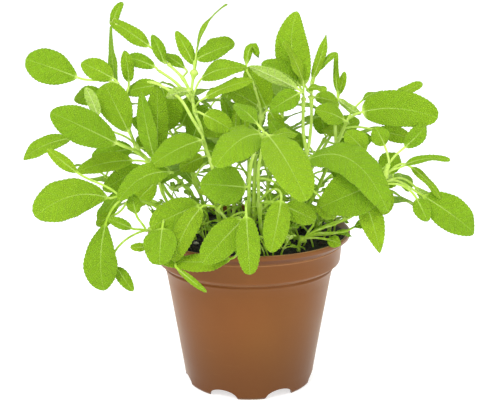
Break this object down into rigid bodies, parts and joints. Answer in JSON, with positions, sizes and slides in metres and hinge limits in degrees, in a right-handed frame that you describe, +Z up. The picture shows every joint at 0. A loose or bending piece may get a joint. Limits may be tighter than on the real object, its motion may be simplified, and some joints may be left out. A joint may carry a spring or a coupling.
{
  "type": "potted sage plant",
  "caption": "Bushy young sage plant with long-stalked oblong leaves, growing in potting soil in a round tapered nursery pot with a flared lip.",
  "frame": {"origin": "on the pot's axis, at the level of its feet", "axes": "+Z up along the pot's axis; -Y towards the side with the leaf that hangs over the front of the lip; +X to the right seen from there"},
  "size_m": [0.2569, 0.2147, 0.2244],
  "materials": {
    "brown_plastic": "satin",
    "potting_soil": "rough",
    "sage_leaf": "matte, finely pebbled"
  },
  "bodies": {
    "root": {"pot": "brown_plastic", "soil": "potting_soil", "sprig_behind_left": "sage_leaf", "sprig_behind_right": "sage_leaf", "sprig_centre": "sage_leaf", "sprig_centre_left": "sage_leaf", "sprig_front": "sage_leaf", "sprig_front_left": "sage_leaf", "sprig_front_right": "sage_leaf", "sprig_inner_1": "sage_leaf", "sprig_inner_2": "sage_leaf", "sprig_inner_3": "sage_leaf", "sprig_left_arch": "sage_leaf", "sprig_left_high": "sage_leaf", "sprig_left_low": "sage_leaf", "sprig_left_mid": "sage_leaf", "sprig_middle_1": "sage_leaf", "sprig_middle_2": "sage_leaf", "sprig_middle_3": "sage_leaf", "sprig_middle_4": "sage_leaf", "sprig_outer_1": "sage_leaf", "sprig_outer_2": "sage_leaf", "sprig_outer_3": "sage_leaf", "sprig_outer_4": "sage_leaf", "sprig_outer_5": "sage_leaf", "sprig_right": "sage_leaf", "sprig_right_high": "sage_leaf", "sprig_right_low": "sage_leaf", "sprig_rim_right": "sage_leaf"}
  },
  "joints": []
}
